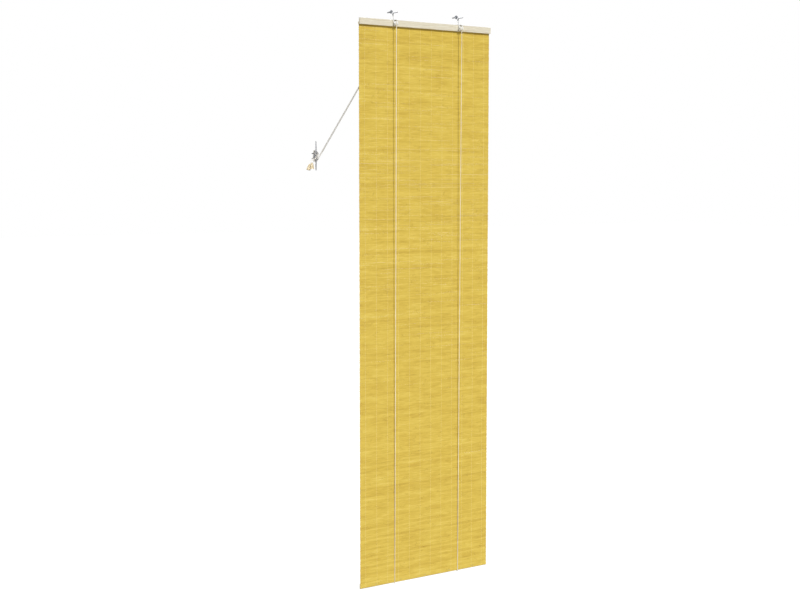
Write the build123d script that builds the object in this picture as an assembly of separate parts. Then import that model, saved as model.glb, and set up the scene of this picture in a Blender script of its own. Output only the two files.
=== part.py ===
"""Bamboo roll up blind, 600 mm wide and 2200 mm long, hung on two wall hooks and fully lowered.

Millimetres. +Z is up, +X is to the right, and the front of the blind faces -Y. The wall is the
plane Y = 0, and the origin is on it, midway between the screws of the two hooks.
"""

import math
import os

from build123d import *

os.makedirs("parts", exist_ok=True)

# Blind as a whole
blind_width = 600.0
blind_drop = 2200.0  # from the top of the head rail to the lower edge of the mat
hook_spacing = 300.0
rail_top_z = -33.0  # below the hook screws
mat_front_y = -14.0
mat_thickness = 2.0
fit_gap = 0.3  # between soft parts and their neighbours

# Wooden slats
rail_height = 24.0
rail_depth = 10.0
strip_height = 10.0
slat_thickness = 4.0  # rear strip and bottom batten
batten_height = 20.0
slat_edge = 0.8  # rounding along the slats

# Cords
cord_radius = 1.3
cord_gap = 0.7  # between two cords side by side
top_split_z = -100.0  # where the still upper end of a lift cord meets its long front run
loop_split = 43.0  # above the lower edge, where the runs meet the bottom loop
bottom_lean = 6.0  # how far right of its wheel a cord passes under the lower edge
hem_gap = 0.5  # between the lower edge and the loop round it
hem_bend = 2.5
back_bend = 4.0  # where a cord turns down behind the rail
cross_lead = 14.0  # over which the crossing cord eases into the saddle
cross_gap = 0.5  # of the crossing cord's centre line in front of the strip's back face
tie_offset = 16.0  # of a lift cord's tied end to the right of its wheel
pull_drop = 8.0  # straight down out of the saddle before the cord slants away
pull_bend = 10.0
groove_gap = 0.1  # between a cord and the bottom of its groove

# Wheels and their brackets
wheel_radius = 9.0
wheel_width = 11.0
groove_radius = 4.6
wheel_rim = 1.4
wheel_rim_edge = 0.4
wheel_drop = 14.0  # of the wheel's centre below the top of the rail
pin_radius = 1.5
pin_head_radius = 2.6
pin_head_height = 1.0
pin_running_gap = 0.05
sheet = 1.2  # bracket steel
bend_radius = 1.0
hanger_width = 20.0
hanger_head_radius = 6.5
hanger_hole_radius = 3.4
ear_radius = 2.9
ear_gap = 0.6  # between a wheel and an ear
ear_inset = 2.2  # of the back of an ear in front of the rail
tongue_reach = 7.0  # of the bracket in front of the rail
window_foot = 5.0  # half widths of the opening in the hanger
window_head = 1.2
window_margin = 3.0
window_corner = 0.8

# Hooks
hook_rod_radius = 1.8
hook_screw_radius = 2.0
hook_screw_length = 28.0
collar_radius = 7.0
collar_thickness = 1.6
hook_dip = 13.0  # of the rod's centre line below the screw
hook_dip_y = -10.75
hook_dip_half = 2.25  # half the length of the level run in the dip
hook_neck_y = -5.0
hook_rise = 4.5  # over which the rod comes up again from the dip
hook_arm_z = -5.6
hook_arm_fall = 1.0
hook_reach = 46.0
hook_bends = [2.5, 2.6, 3.4, 4.0]

# Fasteners
screw_radius = 1.2
screw_head_radius = 2.7
screw_head_height = 1.5
screw_length = 11.0
screw_offset = 6.8  # of a bracket screw from the middle of its bracket
screw_hole_gap = 0.1
slot_width = 0.6
slot_depth = 0.8
slot_turn = 30.0
tip_taper = 0.6  # chamfer at a screw's tip, as a share of its radius
head_edge = 0.6  # rounding of a head or collar, as a share of its height
nail_radius = 0.7
nail_head_radius = 2.2
nail_head_height = 0.6
nail_length = 12.0
nail_pitch = 90.0  # from a nail in the middle outwards
nail_end_gap = 20.0  # least distance of a nail from the end of the strip
staple_radius = 0.8
staple_leg = 14.0
staple_bend = 1.2
hem_staple_radius = 0.4
hem_staple_bend = 0.5
hem_staple_lift = 0.05  # of the crown off the mat
hem_staple_width = 10.0
hem_staple_leg = 4.5
hem_staple_pitch = 115.0
hem_staple_count = 5

# Eyelets
eyelet_radius = 3.5
eyelet_bore = 2.0
eyelet_flange_radius = 5.0
eyelet_flange_thickness = 1.0

# Wall cleat and what is on it
cleat_x = -485.0
cleat_z = -552.0
cleat_length = 108.0
cleat_bar_radius = 2.8
cleat_tip_radius = 1.8
cleat_bar_y = -15.0
cleat_front_y = -19.2
cleat_foot_width = 9.0
cleat_foot_height = 31.0
cleat_foot_corner = 4.0
cleat_foot_edge = 1.0
cleat_screw_pitch = 18.0
cleat_screw_radius = 1.75
cleat_neck_radius = 1.4  # of the plain shank between the head and the wall
cleat_screw_head_radius = 3.0
cleat_screw_head_height = 1.5
cleat_screw_sink = 3.2  # of the screw seats behind the front of the foot
cleat_screw_length = 34.0
cleat_seat_gap = 0.2
winding_width = 18.0
winding_top_z = -533.0
winding_bottom_z = -574.0
winding_corner = 5.0
winding_edge = 3.0
winding_front_y = -25.0
winding_back_y = -3.6
entry_y = -5.2  # of the pull cords into the winding
entry_z = -566.5
bell_radius = 8.0
bell_height = 23.0
bell_neck_radius = 3.6
bell_wall = 1.8
bell_bevel = 1.0
bell_bevel_height = 2.0
bell_waist = 1.6  # by which the wall has widened at bell_waist_share of the height
bell_waist_share = 0.35
bell_throat_share = 0.45
bell_shoulder_share = 0.55
bell_bore_gap = 0.1
knot_radius = 2.5
knot_gap = 0.1
tail_bend = 9.0
tail_straight = 6.0  # of cord above a bell
bell_places = {
    "left": ((-507.5, -10.0, -582.0), (0, 18, 0)),
    "right": ((-506.5, -25.0, -577.5), (0, 0, 0)),
}
tail_starts = {"left": (-12.0, -554.0), "right": (-18.5, -560.5)}

# Derived places
cord_pitch = 2 * cord_radius + cord_gap
rail_bottom_z = rail_top_z - rail_height
mat_back_y = mat_front_y + mat_thickness
rail_front_y = mat_front_y - rail_depth
slat_back_y = mat_back_y + slat_thickness
strip_top_z = rail_bottom_z + strip_height
mat_bottom_z = rail_top_z - blind_drop
batten_top_z = mat_bottom_z + batten_height
loop_top_z = mat_bottom_z + loop_split
wheel_z = rail_top_z - wheel_drop
wheel_y = rail_front_y - ear_gap - wheel_radius
pitch_radius = groove_radius + cord_radius + groove_gap
cord_front_y = wheel_y - pitch_radius
cord_hole_z = wheel_z + pitch_radius
cord_back_y = slat_back_y + cord_radius + fit_gap
hem_front_y = mat_front_y - cord_radius - hem_gap
hem_z = mat_bottom_z - cord_radius - hem_gap
nail_z = rail_bottom_z + strip_height / 2
screw_y = (rail_front_y + mat_front_y) / 2
sides = {"left": -hook_spacing / 2, "right": hook_spacing / 2}


def keep(shape, name):
    """Writes one piece to its file."""
    export_step(shape, f"parts/{name}.step")


def block(x, y, z):
    """A box between pairs of limits along X, Y and Z."""
    size = [pair[1] - pair[0] for pair in (x, y, z)]
    middle = [(pair[1] + pair[0]) / 2 for pair in (x, y, z)]
    return Pos(*middle) * Box(*size)


def rod(start, end, radius):
    """A plain round bar from one point to another."""
    way = Vector(*end) - Vector(*start)
    return extrude(Plane(origin=start, z_dir=way) * Circle(radius), way.length)


def taut_run(start, end, radius):
    """A straight cord from one point to another, cut level at both ends."""
    way = Vector(*end) - Vector(*start)
    return extrude(Plane(origin=start) * Circle(radius), way.length, dir=way)


def button(start, end, radius, edge):
    """A round head from one point to another, with its far edge rounded."""
    head = rod(start, end, radius)
    rims = head.edges().filter_by(GeomType.CIRCLE)
    return fillet(rims.sort_by_distance(end)[0], edge)


def bent_rod(points, radii, radius):
    """A round bar along straight runs joined by tangent arcs."""
    path = FilletPolyline(*points, radius=radii)
    section = Plane(origin=path @ 0, z_dir=path % 0) * Circle(radius)
    bar = sweep(section, path=path)
    expected = math.pi * radius**2 * path.length
    print(f"  length {path.length:.1f}, radii {radii}, volume / expected {bar.volume / expected:.4f}")
    return bar


def slat(x_limits, y_limits, z_limits):
    """A planed wooden slat with its long edges eased."""
    bar = block(x_limits, y_limits, z_limits)
    return fillet(bar.edges().filter_by(Axis.X), slat_edge)


# ---- head rail, rear strip, mat and bottom batten ----
half_width = blind_width / 2
nails_per_side = int((half_width - nail_end_gap) // nail_pitch)
nail_xs = [i * nail_pitch for i in range(-nails_per_side, nails_per_side + 1)]
hem_xs = [(i - (hem_staple_count - 1) / 2) * hem_staple_pitch for i in range(hem_staple_count)]

rail = slat((-half_width, half_width), (rail_front_y, mat_front_y), (rail_bottom_z, rail_top_z))
for side_x in sides.values():
    hole_front = (side_x, rail_front_y - 1, cord_hole_z)
    hole_back = (side_x, mat_front_y + 1, cord_hole_z)
    rail -= rod(hole_front, hole_back, eyelet_radius)
keep(rail, "head_rail")

rear_strip = slat((-half_width, half_width), (mat_back_y, slat_back_y), (rail_bottom_z, strip_top_z))
keep(rear_strip, "rear_strip")

mat = block((-half_width, half_width), (mat_front_y, mat_back_y), (mat_bottom_z, strip_top_z))
hem_staple_z = mat_bottom_z + batten_height / 2
hem_leg_xs = [x + s * hem_staple_width / 2 for x in hem_xs for s in (-1, 1)]
for leg_x in hem_leg_xs:
    mat -= rod(
        (leg_x, mat_front_y - 1, hem_staple_z),
        (leg_x, mat_back_y + 1, hem_staple_z),
        hem_staple_radius + fit_gap / 2,
    )
keep(mat, "bamboo_mat")

batten = slat(
    (-half_width, half_width),
    (mat_back_y, slat_back_y),
    (mat_bottom_z, batten_top_z),
)
keep(batten, "bottom_batten")

# ---- nails and staples ----
nails = []
for nail_x in nail_xs:
    seat = (nail_x, slat_back_y, nail_z)
    shank = rod(seat, (nail_x, slat_back_y - nail_length, nail_z), nail_radius)
    head = rod(seat, (nail_x, slat_back_y + nail_head_height, nail_z), nail_head_radius)
    nails.append(shank + head)
keep(Compound(children=nails), "rail_nails")

crown_y = mat_front_y - hem_staple_radius - hem_staple_lift
hem_staples = []
for hem_x in hem_xs:
    left_x = hem_x - hem_staple_width / 2
    right_x = hem_x + hem_staple_width / 2
    tip_y = mat_back_y + hem_staple_leg - mat_thickness
    hem_staples.append(
        bent_rod(
            [
                (left_x, tip_y, hem_staple_z),
                (left_x, crown_y, hem_staple_z),
                (right_x, crown_y, hem_staple_z),
                (right_x, tip_y, hem_staple_z),
            ],
            [hem_staple_bend, hem_staple_bend],
            hem_staple_radius,
        )
    )
keep(Compound(children=hem_staples), "batten_staples")


def cord_staple(center_x, inner_width):
    """A wire staple whose bridge stands off the rear strip by the thickness of a cord."""
    bridge_y = cord_back_y + cord_radius + fit_gap / 2 + staple_radius
    tip_y = slat_back_y - staple_leg
    reach = inner_width / 2 + staple_radius
    return bent_rod(
        [
            (center_x - reach, tip_y, nail_z),
            (center_x - reach, bridge_y, nail_z),
            (center_x + reach, bridge_y, nail_z),
            (center_x + reach, tip_y, nail_z),
        ],
        [staple_bend, staple_bend],
        staple_radius,
    )


saddle_x = sides["left"] + cord_pitch / 2
keep(cord_staple(saddle_x, 2 * cord_pitch + 4 * fit_gap), "cord_saddle")
ties = [cord_staple(x + tie_offset, 2 * cord_radius + 2 * fit_gap) for x in sides.values()]
keep(Compound(children=ties), "tie_staples")


# ---- hooks, brackets and wheels ----
def wall_hook(x):
    """A screw hook: shank in the wall, round collar, dip for the bracket and a long arm."""
    shank = rod((x, hook_screw_length, 0), (x, 0, 0), hook_screw_radius)
    shank = chamfer(shank.edges().group_by(Axis.Y)[-1], hook_screw_radius * tip_taper)
    collar = button((x, 0, 0), (x, -collar_thickness, 0), collar_radius, collar_thickness * head_edge)
    arm = bent_rod(
        [
            (x, -collar_thickness / 2, 0),
            (x, hook_neck_y, 0),
            (x, hook_dip_y + hook_dip_half, -hook_dip),
            (x, hook_dip_y - hook_dip_half, -hook_dip),
            (x, hook_dip_y - hook_dip_half - hook_rise, hook_arm_z),
            (x, -hook_reach, hook_arm_z - hook_arm_fall),
        ],
        hook_bends,
        hook_rod_radius,
    )
    tip = Pos(x, -hook_reach, hook_arm_z - hook_arm_fall) * Sphere(hook_rod_radius)
    return shank + collar + arm + tip


hook_rod_top_z = -hook_dip + hook_rod_radius
hanger_hole_z = hook_rod_top_z + fit_gap / 2 - hanger_hole_radius
flange_top_z = rail_top_z + sheet
ear_inner = wheel_width / 2 + ear_gap


def hanger_outline(x):
    """The front view of the hanger: a round head that widens to the flange."""
    foot = Polyline(
        (x - hanger_width / 2, rail_top_z),
        (x + hanger_width / 2, rail_top_z),
        (x + hanger_width / 2, flange_top_z + 2),
        (x - hanger_width / 2, flange_top_z + 2),
        close=True,
    )
    head = Pos(x, hanger_hole_z) * CenterArc((0, 0), hanger_head_radius, 0, 360)
    outline = make_hull([*foot.edges(), *head.edges()])
    window_low = flange_top_z + window_margin
    window_high = hanger_hole_z - hanger_hole_radius - window_margin
    window = Polygon(
        (x - window_foot, window_low),
        (x + window_foot, window_low),
        (x + window_head, window_high),
        (x - window_head, window_high),
        align=None,
    )
    window = fillet(window.vertices(), window_corner)
    return outline - window - Pos(x, hanger_hole_z) * Circle(hanger_hole_radius)


def bracket(x):
    """Pressed steel: hanger plate, flange on the rail, tongue over the wheel and two ears."""
    back_y = hook_dip_y + sheet / 2
    front_y = rail_front_y - fit_gap
    plate_top_z = hanger_hole_z + hanger_head_radius + 1
    profile = Polyline(
        (back_y, plate_top_z),
        (back_y, rail_top_z),
        (front_y, rail_top_z),
        (front_y, flange_top_z),
        (back_y - sheet, flange_top_z),
        (back_y - sheet, plate_top_z),
        close=True,
    )
    plate = extrude(Plane.YZ.offset(x) * make_face(profile), hanger_width / 2, both=True)
    bend = plate.edges().filter_by(Axis.X)
    inner = bend.sort_by_distance((x, back_y - sheet, flange_top_z))[0]
    plate = fillet(inner, bend_radius)
    outer = plate.edges().filter_by(Axis.X).sort_by_distance((x, back_y, rail_top_z))[0]
    plate = fillet(outer, bend_radius + sheet)
    front_view = extrude(Plane.XZ * hanger_outline(x), -rail_front_y + 1)
    above_y = back_y - sheet - bend_radius
    flange_limits = (x - hanger_width, x + hanger_width), (front_y, above_y)
    hanger = plate & (front_view + block(*flange_limits, (rail_top_z, flange_top_z)))
    tongue_half = ear_inner + sheet
    tongue = block(
        (x - tongue_half, x + tongue_half),
        (rail_front_y - tongue_reach, front_y + 1),
        (rail_top_z, flange_top_z),
    )
    body = hanger + tongue
    for side in (-1, 1):
        top = Polyline(
            (rail_front_y - ear_inset, rail_top_z),
            (rail_front_y - tongue_reach, rail_top_z),
            (rail_front_y - tongue_reach, flange_top_z),
            (rail_front_y - ear_inset, flange_top_z),
            close=True,
        )
        eye = Pos(wheel_y, wheel_z) * CenterArc((0, 0), ear_radius, 0, 360)
        ear_face = make_hull([*top.edges(), *eye.edges()])
        ear_face -= Pos(wheel_y, wheel_z) * Circle(pin_radius)
        start = x + side * ear_inner
        body += extrude(Plane.YZ.offset(start) * ear_face, side * sheet)
    for hole_x in (x - screw_offset, x + screw_offset):
        hole_low = (hole_x, screw_y, rail_top_z - 1)
        hole_high = (hole_x, screw_y, flange_top_z + 1)
        body -= rod(hole_low, hole_high, screw_radius + screw_hole_gap)
    return body


def bracket_screw(x):
    """A pan-head screw through the flange into the rail."""
    seat = (x, screw_y, flange_top_z)
    shank = rod(seat, (x, screw_y, flange_top_z - screw_length), screw_radius)
    top = (x, screw_y, flange_top_z + screw_head_height)
    head = button(seat, top, screw_head_radius, screw_head_height * head_edge)
    slot = Pos(*top) * Rot(0, 0, slot_turn) * Box(2 * screw_head_radius + 1, slot_width, 2 * slot_depth)
    return shank + (head - slot)


def wheel(x):
    """A nylon wheel with a V groove whose round bottom fits the cord."""
    half = wheel_width / 2
    bore = pin_radius + pin_running_gap
    section = Polyline(
        (-half, bore),
        (-half, wheel_radius),
        (-half + wheel_rim, wheel_radius),
        (-cord_radius, groove_radius),
        (cord_radius, groove_radius),
        (half - wheel_rim, wheel_radius),
        (half, wheel_radius),
        (half, bore),
        close=True,
    )
    face = make_face(section)
    rim_points = face.vertices().group_by(Axis.Y)[-1]
    face = fillet(rim_points, wheel_rim_edge)
    return Pos(x, wheel_y, wheel_z) * revolve(face, Axis.X)


def wheel_pin(x):
    """A rivet through both ears."""
    reach = ear_inner + sheet
    shank = rod((x - reach, wheel_y, wheel_z), (x + reach, wheel_y, wheel_z), pin_radius)
    heads = []
    for side in (-1, 1):
        start = (x + side * reach, wheel_y, wheel_z)
        end = (x + side * (reach + pin_head_height), wheel_y, wheel_z)
        heads.append(button(start, end, pin_head_radius, pin_head_height * head_edge))
    return shank + heads[0] + heads[1]


def eyelet(x):
    """A bush pressed into the rail from behind, with its flange on the rail's back face."""
    seat = (x, mat_front_y, cord_hole_z)
    tube = rod((x, rail_front_y + fit_gap, cord_hole_z), seat, eyelet_radius)
    flange_end = mat_front_y + eyelet_flange_thickness
    flange = rod(seat, (x, flange_end, cord_hole_z), eyelet_flange_radius)
    bore_front = (x, rail_front_y - 1, cord_hole_z)
    bore_back = (x, flange_end + 1, cord_hole_z)
    return tube + flange - rod(bore_front, bore_back, eyelet_bore)


screws = []
for side_name, side_x in sides.items():
    print("hook", side_name)
    keep(wall_hook(side_x), f"wall_hook_{side_name}")
    keep(bracket(side_x), f"bracket_{side_name}")
    keep(wheel(side_x), f"cord_wheel_{side_name}")
    keep(wheel_pin(side_x), f"wheel_pin_{side_name}")
    keep(eyelet(side_x), f"cord_eyelet_{side_name}")
    screws += [bracket_screw(side_x - screw_offset), bracket_screw(side_x + screw_offset)]
keep(Compound(children=screws), "bracket_screws")

# ---- lift cords ----
for side_name, side_x in sides.items():
    print("lift cord", side_name)
    down_x = side_x if side_name == "left" else sides["left"] + cord_pitch
    over_wheel = [
        (side_x, cord_front_y, top_split_z),
        (side_x, cord_front_y, cord_hole_z),
    ]
    if side_name == "left":
        behind = [
            (side_x, cord_back_y, cord_hole_z),
            (side_x, cord_back_y, rail_bottom_z),
        ]
        bends = [pitch_radius, back_bend]
    else:
        cross_y = slat_back_y - cross_gap
        behind = [
            (side_x, cross_y, cord_hole_z),
            (down_x + cross_lead, cross_y, cord_hole_z),
            (down_x, cord_back_y, cord_hole_z - 1.0),
            (down_x, cord_back_y, rail_bottom_z),
        ]
        bends = [pitch_radius, back_bend, back_bend * 5, back_bend]
    keep(bent_rod(over_wheel + behind, bends, cord_radius), f"lift_cord_top_{side_name}")

    low_x = side_x + bottom_lean
    front_low = (low_x, hem_front_y, loop_top_z)
    front_top = (side_x, cord_front_y, top_split_z)
    keep(taut_run(front_low, front_top, cord_radius), f"lift_cord_front_{side_name}")
    back_low = (low_x, cord_back_y, loop_top_z)
    back_top = (side_x + tie_offset, cord_back_y, strip_top_z)
    keep(taut_run(back_low, back_top, cord_radius), f"lift_cord_back_{side_name}")
    loop = bent_rod(
        [
            front_low,
            (low_x, hem_front_y, hem_z),
            (low_x, cord_back_y, hem_z),
            back_low,
        ],
        [hem_bend, hem_bend],
        cord_radius,
    )
    keep(loop, f"lift_cord_loop_{side_name}")


# ---- wall cleat ----
def cleat_shape(grow):
    """The cleat's spindle bar and foot, everywhere thicker by grow."""
    half = cleat_length / 2 + grow
    middle = cleat_bar_radius + grow
    tip = cleat_tip_radius + grow
    spindle = make_face(
        [
            CenterArc((0, half - tip), tip, 0, 90),
            ThreePointArc((tip, half - tip), (middle, 0), (tip, tip - half)),
            CenterArc((0, tip - half), tip, -90, 90),
            Line((0, -half), (0, half)),
        ]
    )
    bar = revolve(Plane.XZ * spindle, Axis.Z)
    bar = Pos(cleat_x, cleat_bar_y, cleat_z) * bar
    foot_half = cleat_foot_width / 2 + grow
    foot = block(
        (cleat_x - foot_half, cleat_x + foot_half),
        (cleat_front_y - grow, 0),
        (cleat_z - cleat_foot_height / 2 - grow, cleat_z + cleat_foot_height / 2 + grow),
    )
    foot = fillet(foot.edges().filter_by(Axis.Y), cleat_foot_corner)
    foot = fillet(foot.edges().group_by(Axis.Y)[0], cleat_foot_edge)
    return bar + foot


cleat = cleat_shape(0)
screw_seat_y = cleat_front_y + cleat_screw_sink
screw_zs = (cleat_z - cleat_screw_pitch / 2, cleat_z + cleat_screw_pitch / 2)
for screw_z in screw_zs:
    seat = (cleat_x, screw_seat_y, screw_z)
    mouth = (cleat_x, cleat_front_y - 1, screw_z)
    cleat -= rod((cleat_x, 1, screw_z), mouth, cleat_screw_radius + screw_hole_gap)
    cleat -= rod(seat, mouth, cleat_screw_head_radius + cleat_seat_gap)
keep(cleat, "wall_cleat")

cleat_screws = []
for screw_z in screw_zs:
    seat = (cleat_x, screw_seat_y, screw_z)
    wall = (cleat_x, 0, screw_z)
    shank = rod(wall, (cleat_x, screw_seat_y + cleat_screw_length, screw_z), cleat_screw_radius)
    shank = chamfer(shank.edges().group_by(Axis.Y)[-1], cleat_screw_radius * tip_taper)
    neck = rod(seat, wall, cleat_neck_radius)
    head_front = (cleat_x, screw_seat_y - cleat_screw_head_height, screw_z)
    cleat_screws.append(shank + neck + rod(seat, head_front, cleat_screw_head_radius))
keep(Compound(children=cleat_screws), "cleat_screws")

winding = block(
    (cleat_x - winding_width / 2, cleat_x + winding_width / 2),
    (winding_front_y, winding_back_y),
    (winding_bottom_z, winding_top_z),
)
winding = fillet(winding.edges().filter_by(Axis.Y), winding_corner)
winding = fillet(winding.edges().group_by(Axis.Y)[0], winding_edge)
winding -= cleat_shape(fit_gap / 2)
keep(winding, "cord_winding")

# ---- pull cords from the saddle to the winding ----
winding_entry_x = cleat_x + winding_width / 2
for side_name, offset in (("left", 0.0), ("right", cord_pitch)):
    print("pull cord", side_name)
    start_x = sides["left"] + offset
    pull = bent_rod(
        [
            (start_x, cord_back_y, rail_bottom_z),
            (start_x, cord_back_y, rail_bottom_z - pull_drop),
            (winding_entry_x, entry_y, entry_z - 2 * offset),
        ],
        [pull_bend],
        cord_radius,
    )
    keep(pull, f"pull_cord_{side_name}")


# ---- wooden bells on the two cord ends ----
throat_z = -bell_height * bell_throat_share


def bell():
    """A turned wooden bell, open below, hung with its top at the origin."""
    bore = cord_radius + bell_bore_gap
    lip = bell_radius - bell_wall
    outer = Spline(
        (bell_neck_radius, -bell_bevel_height),
        (bell_neck_radius + bell_waist, -bell_height * bell_waist_share),
        (bell_radius, -bell_height),
        tangents=[(0.3, -1.0), (0.35, -1.0)],
    )
    inner = Spline(
        (lip, -bell_height),
        (bell_neck_radius, -bell_height * bell_shoulder_share),
        (bore, throat_z),
        tangents=[(-0.3, 1.0), (-1.0, 0.3)],
    )
    face = make_face(
        [
            Line((bore, 0), (bell_neck_radius - bell_bevel, 0)),
            Line((bell_neck_radius - bell_bevel, 0), (bell_neck_radius, -bell_bevel_height)),
            outer,
            Line((bell_radius, -bell_height), (lip, -bell_height)),
            inner,
            Line((bore, throat_z), (bore, 0)),
        ]
    )
    return revolve(Plane.XZ * face, Axis.Z)


winding_exit_x = cleat_x - winding_width / 2
for side_name, (top, turn) in bell_places.items():
    print("bell cord", side_name)
    place = Pos(*top) * Rot(*turn)
    keep(place * bell(), f"bell_{side_name}")
    inside = (place * Pos(0, 0, throat_z - knot_radius - knot_gap)).position
    above = (place * Pos(0, 0, tail_straight)).position
    tail = bent_rod(
        [(winding_exit_x, *tail_starts[side_name]), tuple(above), tuple(inside)],
        [tail_bend],
        cord_radius,
    )
    keep(tail + Pos(*inside) * Sphere(knot_radius), f"bell_cord_{side_name}")
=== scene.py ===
# %% [markdown]
# # A bamboo roll up blind
#
# The blind is a mat of split bamboo, woven on twelve pairs of cotton threads and nailed between two
# slats at the top. Two cords lift it: each is tied behind the head rail, goes down behind the mat,
# round its lower edge, up the front, over a small wheel, and on to a cleat on the wall.
#
# The shapes that carry load come from the CAD model, which is loaded first and never moved.
# Blender adds what CAD leaves out: the splints, the weave, the twist of the cords, the screw
# threads and all the finishes.

# %% Load the CAD model as the frame
import math

import bmesh
import bpy
import numpy as np
from mathutils import Matrix, Vector


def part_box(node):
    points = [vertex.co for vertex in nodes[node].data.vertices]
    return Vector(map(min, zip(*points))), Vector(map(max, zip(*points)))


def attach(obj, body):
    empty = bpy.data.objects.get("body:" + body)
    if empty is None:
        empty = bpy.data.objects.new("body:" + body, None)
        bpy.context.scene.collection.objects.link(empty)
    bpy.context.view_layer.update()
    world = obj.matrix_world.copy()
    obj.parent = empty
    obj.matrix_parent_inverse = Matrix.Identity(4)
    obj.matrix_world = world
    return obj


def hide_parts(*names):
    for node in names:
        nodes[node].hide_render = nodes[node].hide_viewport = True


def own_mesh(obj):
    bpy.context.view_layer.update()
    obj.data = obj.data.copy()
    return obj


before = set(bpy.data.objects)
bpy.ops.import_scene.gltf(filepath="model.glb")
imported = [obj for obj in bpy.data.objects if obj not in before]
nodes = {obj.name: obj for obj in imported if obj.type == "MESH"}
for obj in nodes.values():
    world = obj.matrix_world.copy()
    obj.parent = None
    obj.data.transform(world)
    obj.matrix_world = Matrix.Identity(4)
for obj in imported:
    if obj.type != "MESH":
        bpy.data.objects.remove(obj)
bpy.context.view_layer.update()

# %% [markdown]
# ## Camera, light and floor
#
# The camera stands almost five metres away, to the left of the blind and half a metre above the
# middle of the mat. It looks down by less than five degrees, so the two sides of the mat stay
# nearly parallel. The small shift raises the blind in the frame without tilting the camera
# further, which would make the sides converge.

# %% Camera
look_down = 4.711
turn_right = 31.425
camera_data = bpy.data.cameras.new("camera")
camera_data.lens = 55.45
camera_data.shift_y = -0.02
camera_data.clip_end = 60
camera = bpy.data.objects.new("camera", camera_data)
camera.location = (-2.6155, -4.1001, -0.6503)
camera.rotation_euler = (math.radians(90 - look_down), 0, math.radians(-turn_right))
bpy.context.scene.collection.objects.link(camera)
bpy.context.scene.camera = camera
bpy.context.scene.view_settings.view_transform = "Standard"
bpy.context.scene.view_settings.look = "None"
print("camera at", camera.location[:])

# %% [markdown]
# One large lamp stands high in front of the blind, slightly to its left. A sun lamp does this with
# even light from rail to lower edge, and its angle sets how soft the shadows are: 3 degrees leaves
# the line under the rail dark and the shadows of the cords soft. Two weaker lamps with wide angles
# lighten the sides that face left and the back. The one on the left shines from a little behind
# the plane of the mat, or the lift cords would throw broad shadows across it. The world gives weak
# light from all sides, and what the camera sees of it is plain white.

# %% Lamps
def sun(name, energy, angle, tilt, turn):
    """A sun lamp. Its light points down until it is tilted and then turned, in degrees."""
    data = bpy.data.lights.new(name, "SUN")
    data.energy = energy
    data.angle = math.radians(angle)
    lamp = bpy.data.objects.new(name, data)
    lamp.rotation_euler = (math.radians(tilt), 0, math.radians(turn))
    bpy.context.scene.collection.objects.link(lamp)
    print(name, "lamp: energy", energy, "and an angle of", angle, "degrees")


sun("key", energy=2.82, angle=3, tilt=58, turn=-4)
sun("fill", energy=1.4, angle=20, tilt=78, turn=-103)
sun("rear", energy=1.3, angle=20, tilt=60, turn=165)

# %% World
world = bpy.data.worlds.new("studio")
world.use_nodes = True
bpy.context.scene.world = world
sky = world.node_tree
sky.nodes.clear()
lit = sky.nodes.new("ShaderNodeBackground")
lit.inputs["Color"].default_value = (0.95, 0.97, 1.0, 1)
lit.inputs["Strength"].default_value = 0.29
seen = sky.nodes.new("ShaderNodeBackground")
seen.inputs["Strength"].default_value = 1.0
seen.inputs["Color"].default_value = (1, 1, 1, 1)
rays = sky.nodes.new("ShaderNodeLightPath")
mix = sky.nodes.new("ShaderNodeMixShader")
sky_out = sky.nodes.new("ShaderNodeOutputWorld")
sky.links.new(rays.outputs["Is Camera Ray"], mix.inputs[0])
sky.links.new(lit.outputs[0], mix.inputs[1])
sky.links.new(seen.outputs[0], mix.inputs[2])
sky.links.new(mix.outputs[0], sky_out.inputs[0])
print("world: strength", round(lit.inputs["Strength"].default_value, 2))

# %% [markdown]
# ## Small tools
#
# Most pieces need the same few steps: put a mesh in the scene, give it its finish, and let it ride
# on a CAD body. The node graphs of the finishes are also written with a short helper, because a
# finish is a chain of a dozen nodes and the chain should be easy to read.


# %% Helpers for pieces
def add_piece(name, mesh, material, body):
    """Puts a mesh in the scene as a piece with its finish, riding on a CAD body."""
    mesh.name = name
    mesh.materials.clear()
    mesh.materials.append(material)
    piece = bpy.data.objects.new(name, mesh)
    bpy.context.scene.collection.objects.link(piece)
    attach(piece, body)
    print(" ", name, len(mesh.polygons), "faces, rides on", body)
    return piece


def finish_nodes(names, material):
    """Gives CAD nodes a finish in place of the plain one that they came with."""
    for name in names:
        nodes[name].data.materials.clear()
        nodes[name].data.materials.append(material)
    print(" ", material.name, "on", ", ".join(names))


# %% Helpers for meshes
def mesh_of(curve):
    """The mesh that Blender makes of a curve."""
    holder = bpy.data.objects.new(curve.name, curve)
    mesh = bpy.data.meshes.new_from_object(holder)
    bpy.data.objects.remove(holder)
    return mesh


def coordinates(mesh):
    """The places of all vertices, one row each."""
    places = np.empty(len(mesh.vertices) * 3)
    mesh.vertices.foreach_get("co", places)
    return places.reshape(-1, 3)


def remember_rest(mesh, places=None):
    """Keeps where each vertex is at rest, so that a pattern follows a piece that is squashed."""
    rest = mesh.attributes.new("rest", "FLOAT_VECTOR", "POINT")
    rest.data.foreach_set("vector", (coordinates(mesh) if places is None else places).ravel())


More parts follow.
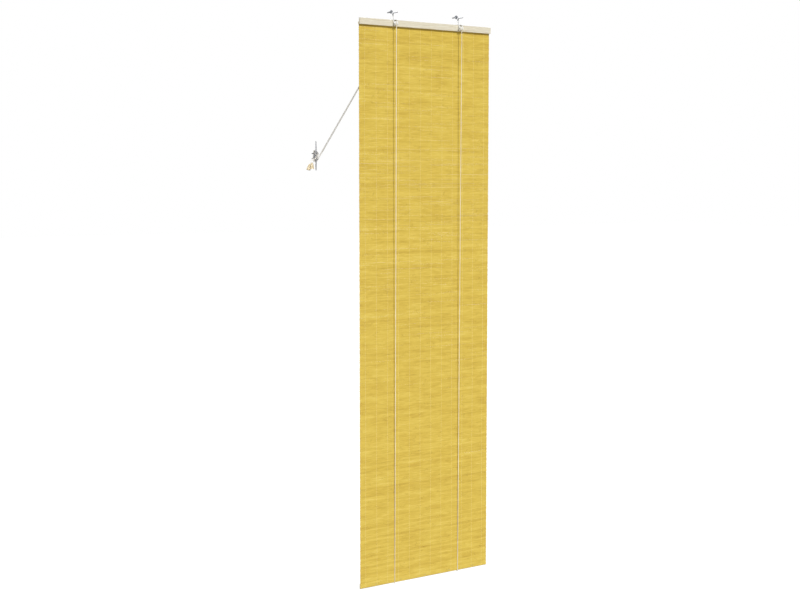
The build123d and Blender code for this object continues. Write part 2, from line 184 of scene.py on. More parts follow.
# %% Helpers for finishes
class Finish:
    """A material whose nodes are added one by one and linked by name."""

    def __init__(self, name):
        self.material = bpy.data.materials.new(name)
        self.material.use_nodes = True
        self.tree = self.material.node_tree
        self.surface = self.tree.nodes["Principled BSDF"]

    def node(self, kind, values=None, **links):
        made = self.tree.nodes.new("ShaderNode" + kind)
        for socket, value in (values or {}).items():
            made.inputs[socket].default_value = value
        for socket, source in links.items():
            self.link(source, made, socket.replace("_", " "))
        return made

    def link(self, source, node, socket):
        output = source if isinstance(source, bpy.types.NodeSocket) else source.outputs[0]
        self.tree.links.new(output, node.inputs[socket])

    def place(self, scale, attribute=None):
        """Coordinates of the object or of one of its attributes, stretched by a scale."""
        if attribute:
            source = self.node("Attribute")
            source.attribute_name = attribute
            vector = source.outputs["Vector"]
        else:
            vector = self.node("TexCoord").outputs["Object"]
        mapping = self.node("Mapping", {"Scale": scale})
        self.link(vector, mapping, "Vector")
        return mapping

    def noise(self, place, detail=3.0, roughness=0.5, distortion=0.0):
        sizes = {"Scale": 1.0, "Detail": detail, "Roughness": roughness, "Distortion": distortion}
        return self.node("TexNoise", sizes, Vector=place)

    def ramp(self, source, stops):
        ramp = self.node("ValToRGB", Fac=source)
        points = ramp.color_ramp.elements
        while len(points) < len(stops):
            points.new(0.5)
        for point, (at, color) in zip(points, stops):
            point.position = at
            point.color = (*color, 1)
        return ramp

    def math(self, operation, first, second=0):
        """Reckons with two values; each is a number or a node."""
        made = self.node("Math")
        made.operation = operation
        for i, value in enumerate((first, second)):
            if isinstance(value, (int, float)):
                made.inputs[i].default_value = value
            else:
                self.link(value, made, i)
        return made

    def blend(self, kind, first, second, share):
        """Mixes two colours; the share is a number or a node."""
        made = self.node("MixRGB")
        made.blend_type = kind
        if isinstance(share, (int, float)):
            made.inputs[0].default_value = share
        else:
            self.link(share, made, 0)
        self.link(first, made, 1)
        self.link(second, made, 2)
        return made

    def bump(self, height, distance, strength=1.0):
        made = self.node("Bump", {"Strength": strength, "Distance": distance}, Height=height)
        self.link(made, self.surface, "Normal")


# %% [markdown]
# The floor is a plain pale sheet below the blind. A white studio floor is lit so strongly that a
# shadow on it is faint. Here the camera sees a floor that glows almost white, and the light that
# the floor throws back on the blind comes from a plain matt grey, or the blind would be lit too
# strongly from below.

# %% Floor
floor_z = -2.62
bm = bmesh.new()
bmesh.ops.create_grid(bm, x_segments=1, y_segments=1, size=40)
bmesh.ops.translate(bm, verts=bm.verts, vec=(0, 0, floor_z))
floor_mesh = bpy.data.meshes.new("floor")
bm.to_mesh(floor_mesh)
bm.free()
pale = Finish("pale_floor")
pale.surface.inputs["Base Color"].default_value = (0.2, 0.2, 0.2, 1)
pale.surface.inputs["Roughness"].default_value = 0.9
pale.surface.inputs["Emission Color"].default_value = (1, 1, 1, 1)
pale.surface.inputs["Emission Strength"].default_value = 0.9
matt = pale.node("BsdfDiffuse", {"Color": (0.5, 0.5, 0.5, 1)})
choice = pale.node("MixShader")
pale.link(pale.node("LightPath").outputs["Is Camera Ray"], choice, 0)
pale.link(matt, choice, 1)
pale.link(pale.surface, choice, 2)
pale.link(choice, pale.tree.nodes["Material Output"], "Surface")
floor_mesh.materials.append(pale.material)
floor = bpy.data.objects.new("floor", floor_mesh)
bpy.context.scene.collection.objects.link(floor)
print("floor at", floor_z, "m")

# %% [markdown]
# ## Cotton cord
#
# The finish comes first. Cotton is matt, slightly fuzzy and off white, and its strands have fine
# fibres. The pattern reads where each vertex was at rest, so it shrinks with a cord that is drawn
# up. A little sheen stands for the fuzz.
#
# The two runs that people pull are a greyer cotton than the rest. The turns round the cleat and
# the ends below it are lighter again: the grey fades to a paler tone below the top of the winding.

# %% Finish of the cotton
def cotton_finish(name, dark, light, lighter_below=None, fade=0.04):
    """Matt twisted cotton between two shades, which turns lighter below the height lighter_below."""
    cotton = Finish(name)
    fuzz = cotton.noise(cotton.place((2600, 2600, 2600), "rest"), 4, 0.6)
    stain = cotton.noise(cotton.place((38, 38, 14), "rest"), 3)
    fibre = cotton.ramp(fuzz, [(0.3, dark), (0.7, light)])
    grime = cotton.ramp(stain, [(0.35, (0.86, 0.83, 0.76)), (0.65, (1, 1, 1))])
    color = cotton.blend("MULTIPLY", fibre, grime, 0.7)
    if lighter_below is not None:
        rest = cotton.node("SeparateXYZ")
        cotton.link(cotton.place((1, 1, 1), "rest"), rest, 0)
        below = cotton.math("MULTIPLY", cotton.math("SUBTRACT", lighter_below, rest.outputs["Z"]), 1 / fade)
        light_tone = cotton.ramp(fuzz, [(0.3, (0.82, 0.78, 0.71)), (0.7, (0.95, 0.92, 0.87))])
        color = cotton.blend("MIX", color, light_tone, below)
    cotton.link(color, cotton.surface, "Base Color")
    cotton.surface.inputs["Roughness"].default_value = 0.9
    cotton.surface.inputs["Sheen Weight"].default_value = 0.2
    cotton.surface.inputs["Sheen Roughness"].default_value = 0.5
    cotton.bump(fuzz, 0.00012)
    print("finish:", name)
    return cotton.material


clean_cotton = cotton_finish("cotton_cord", (0.84, 0.77, 0.60), (0.98, 0.94, 0.82))
# The pulled runs are a greyer cotton, which turns paler below the top of the winding.
grey_cotton = cotton_finish(
    "grey_cotton_cord", (0.32, 0.30, 0.26), (0.54, 0.51, 0.45), lighter_below=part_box("cord_winding")[1].z
)

# %% [markdown]
# A cord is three strands laid round each other. Its line is a smooth NURBS spline that a few
# control points pull into shape, and Blender gives the spline's own points when its curve, which
# has no bevel, is made a mesh. The strands walk that line in even steps while they turn round it,
# once in every lay of 12 millimetres. A helper makes the line, and another makes the strands as
# bevelled curves.

# %% The line of a cord
cord_diameter = 0.0026
strand_share = 0.262


def smooth_line(points, steps=24):
    """The points that Blender gives for a smooth open spline with these control points."""
    route = bpy.data.curves.new("route", "CURVE")
    route.dimensions = "3D"
    route.resolution_u = steps
    spline = route.splines.new("NURBS")
    spline.points.add(len(points) - 1)
    for place, point in zip(spline.points, points):
        place.co = (*point, 1)
    spline.order_u = 3
    spline.use_endpoint_u = True
    return coordinates(mesh_of(route))


def run_lengths(line):
    """The distance of each point of a line from its start, along it."""
    return np.concatenate([[0], np.cumsum(np.linalg.norm(np.diff(line, axis=0), axis=1))])


# %% Strands along a line
def tubes(name, lines, radius, sides_over_four=1):
    """A mesh of round tubes, one along each line, closed at its ends."""
    data = bpy.data.curves.new(name, "CURVE")
    data.dimensions = "3D"
    data.bevel_depth = radius
    data.bevel_resolution = sides_over_four
    data.use_fill_caps = True
    for line in lines:
        spline = data.splines.new("POLY")
        spline.points.add(len(line) - 1)
        spline.points.foreach_set("co", np.c_[line, np.ones(len(line))].ravel())
    return mesh_of(data)


def twisted(name, line, lay=0.012, step=0.0015, across=(1, 0, 0)):
    """Three strands laid round a line."""
    run = run_lengths(line)
    at = np.linspace(0, run[-1], max(3, round(run[-1] / step) + 1))
    middle = np.stack([np.interp(at, run, line[:, k]) for k in range(3)], 1)
    way = np.gradient(middle, axis=0)
    way /= np.linalg.norm(way, axis=1)[:, None]
    side = np.empty_like(middle)
    current = np.array(across, float)
    for i, along in enumerate(way):
        current = current - along * (current @ along)
        current /= np.linalg.norm(current)
        side[i] = current
    other = np.cross(way, side)
    strand_radius = cord_diameter * strand_share
    offset = cord_diameter / 2 - strand_radius
    lines = []
    for k in range(3):
        turn = 2 * math.pi * (at / lay + k / 3)
        round_it = np.cos(turn)[:, None] * side + np.sin(turn)[:, None] * other
        lines.append(middle + offset * round_it)
    mesh = tubes(name, lines, strand_radius)
    remember_rest(mesh)
    return mesh


strand_mm = round(cord_diameter * strand_share * 2000, 2)
print("cord", cord_diameter * 1000, "mm thick, in three strands of", strand_mm, "mm")

# %% [markdown]
# ## The free ends of the cords
#
# Both cords leave the wire saddle on the left, slant down to the cleat, and are wound on it. The
# left cord passes behind the lower horn, across the front, behind the upper horn, and down to its
# bell. The right cord does the same beside it, then crosses back over both and goes behind the
# lower horn again. Each ends in a knot inside a turned wooden bell.
#
# These are the only cords that lie free, and their lengths are printed.

# %% Route of the left cord
left_route = [
    (-0.1500, -0.0064, -0.0570), (-0.1500, -0.0064, -0.0650), (-0.1544, -0.0064, -0.0717),
    (-0.4675, -0.0052, -0.5534), (-0.4760, -0.0052, -0.5665), (-0.4845, -0.0055, -0.5705),
    (-0.4930, -0.0100, -0.5670), (-0.4918, -0.0207, -0.5605), (-0.4850, -0.0220, -0.5520),
    (-0.4782, -0.0207, -0.5435), (-0.4770, -0.0095, -0.5370), (-0.4845, -0.0055, -0.5335),
    (-0.4930, -0.0090, -0.5385), (-0.4944, -0.0120, -0.5530), (-0.50565, -0.0100, -0.5763),
    (-0.5115, -0.0100, -0.5943),
]
left_line = smooth_line(left_route)
print("left cord", round(run_lengths(left_line)[-1], 4), "m")

# %% Route of the right cord
right_route = [
    (-0.1467, -0.0064, -0.0570), (-0.1467, -0.0064, -0.0650), (-0.1511, -0.0064, -0.0717),
    (-0.4675, -0.0052, -0.5600), (-0.4760, -0.0052, -0.5731), (-0.4848, -0.0055, -0.5735),
    (-0.4958, -0.0095, -0.5700), (-0.4920, -0.0212, -0.5648), (-0.4832, -0.0221, -0.5542),
    (-0.4763, -0.0207, -0.5456), (-0.4743, -0.0095, -0.5380), (-0.4845, -0.0055, -0.5305),
    (-0.4956, -0.0105, -0.5362), (-0.4917, -0.0238, -0.5436), (-0.4850, -0.0248, -0.5520),
    (-0.4780, -0.0238, -0.5606), (-0.4768, -0.0105, -0.5680), (-0.4850, -0.0084, -0.5722),
    (-0.4938, -0.0125, -0.5722), (-0.4948, -0.0195, -0.5630), (-0.5005, -0.0232, -0.5632),
    (-0.5065, -0.0250, -0.5715), (-0.5065, -0.0250, -0.59045),
]
right_line = smooth_line(right_route)
print("right cord", round(run_lengths(right_line)[-1], 4), "m")

# %% [markdown]
# The knot in each bell is a small overhand knot. Its loop is drawn as a closed spline of twelve
# control points, in millimetres, that go over and under each other. It is thinner than the cord,
# as a knot that has been pulled tight is.

# %% Knots
knot_shape = [
    (0.0, 2.0, 0.9), (1.7, 1.0, -0.9), (1.7, -1.0, 0.9), (0.0, -0.4, -0.9),
    (-1.7, -1.0, 0.9), (-1.7, 1.0, -0.9), (0.0, 2.0, -0.6), (1.0, 0.2, 0.9),
    (0.6, -1.8, -0.7), (-0.6, -1.8, 0.7), (-1.0, 0.2, -0.9), (-0.6, 1.6, 0.5),
]


def knot(name, centre):
    """A closed knot of cord round a point."""
    data = bpy.data.curves.new(name, "CURVE")
    data.dimensions = "3D"
    data.bevel_depth = 0.0009
    data.bevel_resolution = 2
    data.resolution_u = 6
    spline = data.splines.new("NURBS")
    spline.points.add(len(knot_shape) - 1)
    for place, (x, y, z) in zip(spline.points, knot_shape):
        place.co = (centre[0] + x / 1000, centre[1] + y / 1000, centre[2] + z / 1000, 1)
    spline.order_u = 3
    spline.use_cyclic_u = True
    mesh = mesh_of(data)
    remember_rest(mesh)
    return add_piece(name, mesh, grey_cotton, "head")


knot_left = knot("knot_left", left_route[-1])
knot_right = knot("knot_right", right_route[-1])

pull_left = add_piece(
    "pull_cord_twist_left", twisted("pull_left", left_line), grey_cotton, "head"
)
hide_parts("pull_cord_left", "bell_cord_left", "cord_winding")
pull_right = add_piece(
    "pull_cord_twist_right", twisted("pull_right", right_line), grey_cotton, "head"
)
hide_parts("pull_cord_right", "bell_cord_right")

# %% [markdown]
# ## The lift cords
#
# The same twisted cord runs over the wheels and round the lower edge. The upper ends and the long
# runs ride on the head, and the loops ride on the lower edge. A run is a straight line from its
# top end down to the top of its loop.

# %% Upper ends, over the wheels
both = ("left", "right")
run_top_z = -0.100
mat_top_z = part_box("bamboo_mat")[1].z
loop_top_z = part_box("lift_cord_loop_left")[1].z
top_routes = {
    "left": [
        (-0.1500, -0.0396, -0.1000), (-0.1500, -0.0396, -0.0540), (-0.1500, -0.0396, -0.0410),
        (-0.1500, -0.0266, -0.0410), (-0.1500, -0.0144, -0.0410), (-0.1500, -0.0064, -0.0410),
        (-0.1500, -0.0064, -0.0490), (-0.1500, -0.0064, -0.0570),
    ],
    "right": [
        (0.1500, -0.0396, -0.1000), (0.1500, -0.0396, -0.0540), (0.1500, -0.0396, -0.0410),
        (0.1500, -0.0266, -0.0410), (0.1500, -0.0165, -0.0410), (0.1500, -0.0085, -0.0410),
        (0.1420, -0.0085, -0.0410), (-0.1307, -0.0085, -0.0410), (-0.1467, -0.0064, -0.0420),
        (-0.1467, -0.0064, -0.0500), (-0.1467, -0.0064, -0.0570),
    ],
}
for side, route in top_routes.items():
    line = smooth_line(route)
    mesh = twisted(f"top_{side}", line)
    piece = add_piece(f"lift_top_twist_{side}", mesh, clean_cotton, "head")
    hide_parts(f"lift_cord_top_{side}")
    print("  upper end", side, round(run_lengths(line)[-1], 4), "m")

# %% Front and back runs
low_x = {"left": -0.144, "right": 0.156}
wheel_x = {"left": -0.150, "right": 0.150}
tie_offset = 0.016
wheel_y = -0.0396
front_y = -0.0158
back_y = -0.0064


def lift_run(kind, side, top, bottom):
    """A straight run of lift cord between two points, riding on the head."""
    mesh = twisted(f"{kind}_{side}", np.array([top, bottom]))
    piece = add_piece(f"lift_{kind}_twist_{side}", mesh, clean_cotton, "head")
    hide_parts(f"lift_cord_{kind}_{side}")
    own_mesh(piece)


for side in both:
    x = low_x[side]
    tie_x = wheel_x[side] + tie_offset
    lift_run("front", side, (wheel_x[side], wheel_y, run_top_z), (x, front_y, loop_top_z))
    lift_run("back", side, (tie_x, back_y, mat_top_z), (x, back_y, loop_top_z))

# %% Loops round the lower edge
for side in both:
    x = low_x[side]
    loop_route = [
        (x, front_y, loop_top_z), (x, front_y, -2.2290), (x, front_y, -2.2348),
        (x, -0.0111, -2.2360), (x, back_y, -2.2348), (x, back_y, -2.2290),
        (x, back_y, loop_top_z),
    ]
    line = smooth_line(loop_route)
    mesh = twisted(f"loop_{side}", line)
    piece = add_piece(f"lift_loop_twist_{side}", mesh, clean_cotton, "lower_edge")
    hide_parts(f"lift_cord_loop_{side}")

# %% [markdown]
# ## The bamboo mat
#
# About a thousand thin splints lie side by side. They are split from green cane and dried, so each
# has its own height, a slight wave and its own shade, and splints that were cut from the same cane
# lie together: their shades agree and the joints of the cane fall on nearly the same place.
#
# The finish therefore mixes several things. Broad patches differ from band to band, streaks run
# along the splints, fine fibres run inside them, and every third of a metre a cane joint leaves a
# short dark mark. Every pattern reads where the splint was at rest, so it is squashed with the mat.
# The streaks, fibres and joints are also shifted along each splint by its own amount.

# %% Finish of the bamboo
bamboo = Finish("split_bamboo")
patches = bamboo.noise(bamboo.place((8, 1, 40), "rest"), 3, 0.6)
streaks = bamboo.noise(bamboo.place((24, 1, 300), "grain"), 3, 0.65)
fibres = bamboo.noise(bamboo.place((60, 1400, 3800), "grain"), 3, 0.6)
shade = bamboo.node("Attribute")
shade.attribute_name = "shade"
tone = bamboo.math("MULTIPLY", patches, 0.28)
for pattern, share in ((streaks, 0.50), (fibres, 0.12), (shade.outputs["Fac"], 0.10)):
    tone = bamboo.math("ADD", tone, bamboo.math("MULTIPLY", pattern, share))
straw = bamboo.ramp(
    tone,
    [
        (0.34, (0.495, 0.322, 0.050)),
        (0.44, (0.597, 0.415, 0.065)),
        (0.51, (0.653, 0.474, 0.080)),
        (0.58, (0.700, 0.523, 0.101)),
        (0.68, (0.784, 0.621, 0.178)),
    ],
)
joints_per_metre = 3.1
along = bamboo.node("SeparateXYZ", Vector=bamboo.place((joints_per_metre, 1, 1), "grain"))
wrapped = bamboo.math("FRACT", along.outputs["X"])
joint = bamboo.ramp(
    wrapped, [(0.0, (0.55, 0.45, 0.35)), (0.008, (0.75, 0.68, 0.6)), (0.016, (1, 1, 1))]
)
bamboo.link(bamboo.blend("MULTIPLY", straw, joint, 0.5), bamboo.surface, "Base Color")
gloss = bamboo.ramp(streaks, [(0.3, (0.62, 0.62, 0.62)), (0.7, (0.46, 0.46, 0.46))])
bamboo.link(gloss, bamboo.surface, "Roughness")
bamboo.surface.inputs["Specular IOR Level"].default_value = 0.2
bamboo.bump(fibres, 0.0001)
print("finish:", bamboo.material.name, "with", len(bamboo.tree.nodes), "nodes")

# %% [markdown]
# One splint is a six-sided end face that is extruded along the mat. The first and last steps are
# only two millimetres long, so that each end can be cut a little unevenly. The faces stay flat
# shaded: split cane has flat sides, and on faces as long and thin as these smooth shading leaves
# faint dark bands across the mat.
#
# Every step after the first leaves the face that it started from inside the splint. The extrusion
# only drops such a face if its edges are handed over as well, and this loop hands over faces alone.
# The eleven inner faces of a splint can't be seen, but they make the mesh heavier than it need be.
#
# An Array modifier repeats the splint down the mat. Its copies keep the order of the vertices, so
# the rows of coordinates can be shared out to the splints and each one moved a little. The
# generator has a fixed seed, so each splint lies in the same place in every run.

# %% One splint
mat_low, mat_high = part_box("bamboo_mat")
splint_pitch = 0.0021
splint_count = int((mat_high.z - mat_low.z) / splint_pitch)
length = mat_high.x - mat_low.x
end_step = 0.002
long_steps = 10
steps = [end_step] + [(length - 2 * end_step) / long_steps] * long_steps + [end_step]
upright = Matrix.Rotation(math.radians(90), 3, "Y")
bm = bmesh.new()
bmesh.ops.create_circle(bm, cap_ends=True, segments=6, radius=0.5)
bmesh.ops.rotate(bm, verts=bm.verts, cent=(0, 0, 0), matrix=upright)
bmesh.ops.translate(bm, verts=bm.verts, vec=(mat_low.x, 0, 0))
end = bm.faces[:]
for i, step in enumerate(steps):
    grown = bmesh.ops.extrude_face_region(bm, geom=end, use_keep_orig=(i == 0))
    end = [f for f in grown["geom"] if isinstance(f, bmesh.types.BMFace)]
    rim = list({v for f in end for v in f.verts})
    bmesh.ops.translate(bm, verts=rim, vec=(step, 0, 0))
bmesh.ops.recalc_face_normals(bm, faces=bm.faces)
splint = bpy.data.meshes.new("splint")
bm.to_mesh(splint)
print("one splint:", len(bm.verts), "points,", len(bm.faces), "faces, volume", bm.calc_volume() > 0)
bm.free()

# %% The splints side by side
row = bpy.data.objects.new("row", splint)
bpy.context.scene.collection.objects.link(row)
repeat = row.modifiers.new("repeat", "ARRAY")
repeat.count = splint_count
repeat.use_relative_offset = False
repeat.use_constant_offset = True
repeat.constant_offset_displace = (0, 0, -splint_pitch)
evaluated_row = row.evaluated_get(bpy.context.evaluated_depsgraph_get())
mat_mesh = bpy.data.meshes.new_from_object(evaluated_row)
bpy.data.objects.remove(row)
print(splint_count, "splints,", len(mat_mesh.polygons), "faces")

# %% [markdown]
# The splints are about 2.08 to 2.26 millimetres high and 1.3 to 1.6 thick. A hexagon that lies on a
# flat side is only cos 30 degrees of its nominal height high, so the height is divided by that.
# Neighbours then touch, and no light shows between them. The unevenness at the ends is only given
# to the vertices of the end faces.

# %% Each splint its own size and wave
chance = np.random.RandomState(7)
n = splint_count
per = len(mat_mesh.vertices) // n
at = coordinates(mat_mesh).reshape(n, per, 3)
flat_share = math.cos(math.radians(30))
height = chance.uniform(0.00208, 0.00226, n)[:, None] / flat_share
depth = chance.uniform(0.0013, 0.0016, n)[:, None]
middle_y = (mat_low.y + mat_high.y) / 2
first_z = mat_high.z - splint_pitch / 2
row_z = first_z - np.arange(n) * splint_pitch
level = at[:, :, 2] + (np.arange(n) * splint_pitch)[:, None]
x = at[:, :, 0]


def phase():
    """A random phase for the wave of each splint."""
    return chance.uniform(0, 6.3, (n, 1))


wave = sum(
    chance.normal(0, size, (n, 1)) * np.sin(x * 2 * math.pi / long + phase())
    for long, size in ((0.75, 0.00006), (0.31, 0.00004))
)
taper = 1 + 0.06 * np.sin(x * 9 + phase())
at_end = np.abs(x) > mat_high.x - end_step / 2
uneven = chance.uniform(-0.0011, 0.0004, (n, 1)) * np.sign(x) * at_end
at[:, :, 0] = x + uneven
at[:, :, 1] = middle_y + at[:, :, 1] * depth
at[:, :, 2] = row_z[:, None] + level * height * taper + wave
mat_mesh.vertices.foreach_set("co", at.reshape(-1))
print("splints", round(float(height.mean()) * flat_share * 1000, 2), "mm high")

# %% Each splint its own shade, and where its patterns are read
bundle = np.repeat(np.arange(n), chance.randint(2, 7, n))[:n]
shift = chance.uniform(0, 3, n)[bundle] + chance.normal(0, 0.006, n)
bundle_shade = chance.normal(0.5, 0.2, n)[bundle]
splint_shade = np.clip(bundle_shade + chance.normal(0, 0.2, n), 0, 1)
remember_rest(mat_mesh)
grain = at.copy()
grain[:, :, 0] += shift[:, None]
grain[:, :, 2] += chance.uniform(0, 40, (n, 1))
grain_kept = mat_mesh.attributes.new("grain", "FLOAT_VECTOR", "POINT")
grain_kept.data.foreach_set("vector", grain.ravel())
shade_kept = mat_mesh.attributes.new("shade", "FLOAT", "POINT")
shade_kept.data.foreach_set("value", np.repeat(splint_shade, per).astype(np.float32))
print("splints lie in", len(set(bundle)), "bundles of one cane each")

# %% The mat as a piece
mat = add_piece("bamboo_splints", mat_mesh, bamboo.material, "head")
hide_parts("bamboo_mat")
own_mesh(mat)

# %% [markdown]
# ## The warp
#
# Pairs of thin cotton threads hold the splints, 50 millimetres apart. Where one thread passes in
# front of a splint, its partner passes behind, and they change places between two splints. Each is
# a spline with one control point per splint, in front and behind by turns. The spline only goes
# part of the way out to its control points, so they stand out about twice as far as the thread.
#
# The threads begin below the head rail, where they can be seen, because the slats pinch them flat.

# %% Finish of the warp thread
thread = Finish("warp_thread")
lint = thread.noise(thread.place((3000, 3000, 3000), "rest"), 3, 0.6)
lint_color = thread.ramp(lint, [(0.3, (0.80, 0.67, 0.24)), (0.7, (0.92, 0.81, 0.40))])
thread.link(lint_color, thread.surface, "Base Color")
thread.surface.inputs["Roughness"].default_value = 0.85
thread.surface.inputs["Sheen Weight"].default_value = 0.2
thread.bump(lint, 0.00006)
print("finish:", thread.material.name)

# %% Twelve pairs of threads
thread_radius = 0.00036
beside = 0.00022
wander = 0.0008
thread_stand = 0.0009
stand = 2.1 * thread_stand
first_row = int((mat_high.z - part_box("head_rail")[0].z) / splint_pitch) + 1
columns = [-0.275 + 0.05 * i for i in range(12)]
rows = np.arange(first_row, n)
ones = np.ones(len(rows))
for part in range(3):
    data = bpy.data.curves.new("warp", "CURVE")
    data.dimensions = "3D"
    data.bevel_depth = thread_radius
    data.bevel_resolution = 0
    data.resolution_u = 2
    for column_x in columns[4 * part : 4 * part + 4]:
        for turn in (0, 1):
            swap = np.where((rows + turn) % 2 == 0, -1.0, 1.0)
            lean = (beside if turn else -beside) + wander * np.sin(rows / 60 + column_x * 40)
            points = np.c_[column_x + lean, middle_y + stand * swap, row_z[rows], ones]
            spline = data.splines.new("NURBS")
            spline.points.add(len(rows) - 1)
            spline.points.foreach_set("co", points.ravel())
            spline.order_u = 3
            spline.use_endpoint_u = True
    mesh = mesh_of(data)
    remember_rest(mesh)
    piece = add_piece(f"warp_threads_{part + 1}", mesh, thread.material, "head")
    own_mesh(piece)
print(len(columns), "pairs of threads")

# %% [markdown]
# ## Wooden slats
#
# The head rail, the strip behind it and the batten at the lower edge are sawn from pale softwood
# and planed. Growth rings run along a slat and show as long lines on its faces and as arcs on its
# ends. A ring pattern round an axis along the slat, bent by noise, gives both from one texture.

# %% Finish of the slats
pine = Finish("planed_slat")
drift = pine.noise(pine.place((2.4, 24, 24)), 3, 0.5)
warped = pine.blend("ADD", pine.place((1.6, 26, 26)), drift, 1.0)
rings = pine.node(
    "TexWave", {"Scale": 3.2, "Distortion": 3.4, "Detail": 3.0, "Detail Scale": 1.2}, Vector=warped
)
rings.wave_type = "RINGS"
rings.rings_direction = "X"
pores = pine.noise(pine.place((70, 1500, 1500)), 3, 0.6)
ring_color = pine.ramp(
    rings, [(0.0, (0.62, 0.55, 0.40)), (0.45, (0.71, 0.66, 0.52)), (1.0, (0.76, 0.72, 0.59))]
)
pore_color = pine.ramp(pores, [(0.32, (0.80, 0.76, 0.68)), (0.6, (1, 1, 1))])
pine.link(pine.blend("MULTIPLY", ring_color, pore_color, 0.6), pine.surface, "Base Color")
pine.surface.inputs["Roughness"].default_value = 0.62
pine.bump(pores, 0.00008)
finish_nodes(["head_rail", "rear_strip", "bottom_batten"], pine.material)

# %% [markdown]
# The bells are turned from a light hardwood. A lathe leaves fine rings round the axis, so the tool
# marks are rings of height, and the grain runs along the axis. The left bell leans, so a Mapping
# node tilts the pattern with it.

# %% Finish of the bells
def turned_wood(name, centre, lean):
    """Light turned wood with tool marks round an axis through a point."""
    wood = Finish(name)
    mapping = wood.place((1, 1, 1))
    mapping.vector_type = "TEXTURE"
    mapping.inputs["Location"].default_value = centre
    mapping.inputs["Rotation"].default_value = (0, math.radians(lean), 0)
    stretched = wood.node("Mapping", {"Scale": (420, 420, 45)}, Vector=mapping)
    figure = wood.noise(stretched, 4, 0.6, 0.4)
    marks = wood.node("TexWave", {"Scale": 480.0, "Distortion": 0.6}, Vector=mapping)
    marks.wave_type = "BANDS"
    marks.bands_direction = "Z"
    color = wood.ramp(
        figure, [(0.3, (0.50, 0.38, 0.20)), (0.5, (0.66, 0.54, 0.33)), (0.7, (0.78, 0.68, 0.48))]
    )
    wood.link(color, wood.surface, "Base Color")
    wood.surface.inputs["Roughness"].default_value = 0.42
    wood.surface.inputs["Coat Weight"].default_value = 0.25
    wood.surface.inputs["Coat Roughness"].default_value = 0.2
    wood.bump(marks, 0.00006)
    return wood.material


for side, lean in (("left", 18), ("right", 0)):
    low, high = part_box(f"bell_{side}")
    finish_nodes([f"bell_{side}"], turned_wood(f"turned_bell_{side}", (low + high) / 2, lean))

# %% [markdown]
# ## Steel and nylon
#
# Hooks, staples, nails and screws are zinc plated steel, and the cleat is cast and left satin. Both
# are dull grey metals with faint cloudy patches, so one helper makes them in two shades.

# %% Finish of the steel
def plated(name, dark, middle, light, rough):
    """Dull metal with faint clouds in its plating."""
    metal = Finish(name)
    cloud = metal.noise(metal.place((260, 260, 260)), 4, 0.6)
    grit = metal.noise(metal.place((2400, 2400, 2400)), 2, 0.5)
    tint = metal.ramp(cloud, [(0.3, dark), (0.55, middle), (0.75, light)])
    metal.link(tint, metal.surface, "Base Color")
    wear = metal.ramp(cloud, [(0.3, (rough + 0.1,) * 3), (0.7, (rough - 0.08,) * 3)])
    metal.link(wear, metal.surface, "Roughness")
    metal.surface.inputs["Metallic"].default_value = 0.9
    metal.bump(grit, 0.00003)
    print("finish:", name)
    return metal.material


zinc = plated("zinc_plate", (0.26, 0.27, 0.29), (0.38, 0.39, 0.41), (0.48, 0.49, 0.50), 0.42)
satin = plated("satin_cast_metal", (0.34, 0.34, 0.36), (0.44, 0.44, 0.45), (0.54, 0.54, 0.54), 0.48)
finish_nodes(["rail_nails", "batten_staples", "cord_saddle", "tie_staples"], zinc)
finish_nodes(["bracket_screws", "cleat_screws"], zinc)
finish_nodes([f"{part}_{side}" for part in ("wall_hook", "wheel_pin") for side in both], zinc)
finish_nodes(["wall_cleat"], satin)

# %% [markdown]
# The brackets are pressed from sheet steel and enamelled white. Enamel is glossy and almost smooth,
# but sheet metal under it is never quite flat, so a broad weak noise bends its reflections, and the
# colour is a little warmer where the coat is thin.

# %% Finish of the brackets
enamel = Finish("white_enamel")
coat = enamel.noise(enamel.place((140, 140, 140)), 3, 0.5)
peel = enamel.noise(enamel.place((900, 900, 900)), 2, 0.5)
enamel.link(
    enamel.ramp(coat, [(0.3, (0.86, 0.85, 0.82)), (0.6, (0.94, 0.94, 0.93))]),
    enamel.surface,
    "Base Color",
)
enamel.surface.inputs["Roughness"].default_value = 0.3
enamel.surface.inputs["Coat Weight"].default_value = 0.3
enamel.surface.inputs["Coat Roughness"].default_value = 0.15
enamel.bump(peel, 0.00002)
finish_nodes([f"bracket_{side}" for side in both], enamel.material)

# %% [markdown]
# The wheels and eyelets are moulded nylon: white, with a soft gloss and a very fine grain from the
# mould. One broad noise clouds the white, and one fine noise drives both the gloss and the bump.

# %% Finish of the nylon
nylon = Finish("white_nylon")
cloud = nylon.noise(nylon.place((90, 90, 90)), 2)
grain_fine = nylon.noise(nylon.place((4200, 4200, 4200)), 2)
nylon.link(
    nylon.ramp(cloud, [(0.35, (0.86, 0.85, 0.81)), (0.65, (0.94, 0.94, 0.92))]),
    nylon.surface,
    "Base Color",
)
nylon.link(
    nylon.ramp(grain_fine, [(0.3, (0.40, 0.40, 0.40)), (0.7, (0.30, 0.30, 0.30))]),
    nylon.surface,
    "Roughness",
)
nylon.bump(grain_fine, 0.00002)
nylon_parts = ("cord_wheel", "cord_eyelet")
finish_nodes([f"{part}_{side}" for part in nylon_parts for side in both], nylon.material)

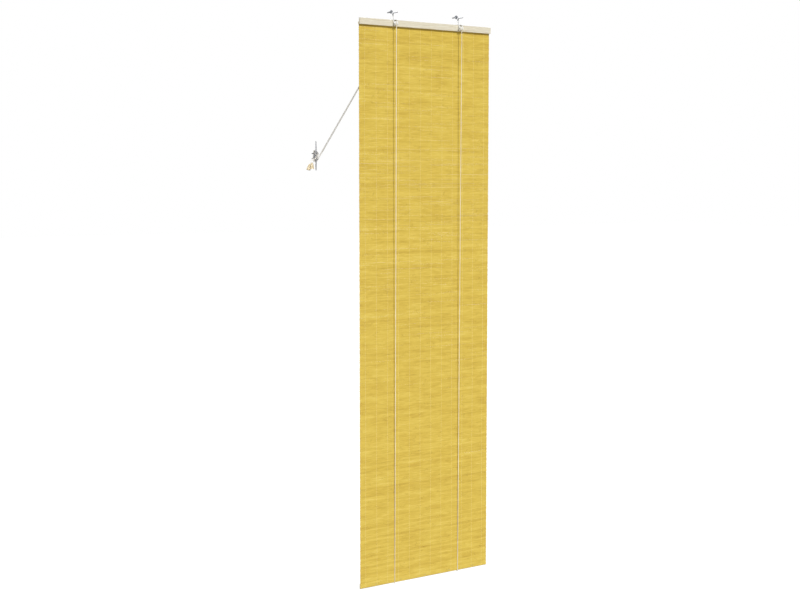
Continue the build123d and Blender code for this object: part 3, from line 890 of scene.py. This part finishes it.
# %% [markdown]
# ## Screw threads
#
# The shanks of the hooks and of the cleat's screws go into the wall. CAD gives them as plain pins,
# and the thread is added here. Its section is a small triangle with its base sunk into the shank,
# and a spin that also moves along the axis winds it into a helix. The first turn and the last two
# and a half are drawn in towards the axis, so that the thread runs out on the shank instead of
# ending in a step.


# %% Threads
def screw_thread(name, centre, shank, start, end, pitch, height, sunk=0.0002, steps_per_turn=18):
    """A helical ridge round a shank along Y, from start to end."""
    turns = (end - start) / pitch
    steps = int(turns * steps_per_turn)
    bm = bmesh.new()
    half = pitch * 0.3
    corners = [(shank - sunk, -half), (shank + height, 0.0), (shank - sunk, half)]
    points = [bm.verts.new((centre[0] + r, start + y, centre[2])) for r, y in corners]
    face = bm.faces.new(points)
    bmesh.ops.spin(
        bm, geom=[face, *face.edges, *face.verts], cent=(centre[0], start, centre[2]),
        axis=(0, 1, 0), dvec=(0, (end - start) / steps, 0), angle=2 * math.pi * turns, steps=steps,
    )
    bmesh.ops.recalc_face_normals(bm, faces=bm.faces)
    for v in bm.verts:
        run_out = min(1.0, (v.co.y - start + half) / pitch, (end + half - v.co.y) / (2.5 * pitch))
        away = Vector((v.co.x - centre[0], 0, v.co.z - centre[2]))
        wanted = min(away.length, shank - sunk + (height + sunk) * max(0.0, run_out))
        moved = away.normalized() * wanted
        v.co = (centre[0] + moved.x, v.co.y, centre[2] + moved.z)
    mesh = bpy.data.meshes.new(name)
    bm.to_mesh(mesh)
    bm.free()
    return add_piece(name, mesh, zinc, "head")


for side in both:
    screw_thread(
        f"hook_thread_{side}", (wheel_x[side], 0, 0), shank=0.002, start=0.005, end=0.0262,
        pitch=0.0018, height=0.0005,
    )
cleat_low, cleat_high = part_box("cleat_screws")
cleat_x = (cleat_low.x + cleat_high.x) / 2
cleat_z = (cleat_low.z + cleat_high.z) / 2
for place, offset in (("upper", 0.009), ("lower", -0.009)):
    screw_thread(
        f"cleat_thread_{place}", (cleat_x, 0, cleat_z + offset), shank=0.00175, start=0.003,
        end=cleat_high.y - 0.0016, pitch=0.0015, height=0.00045,
    )
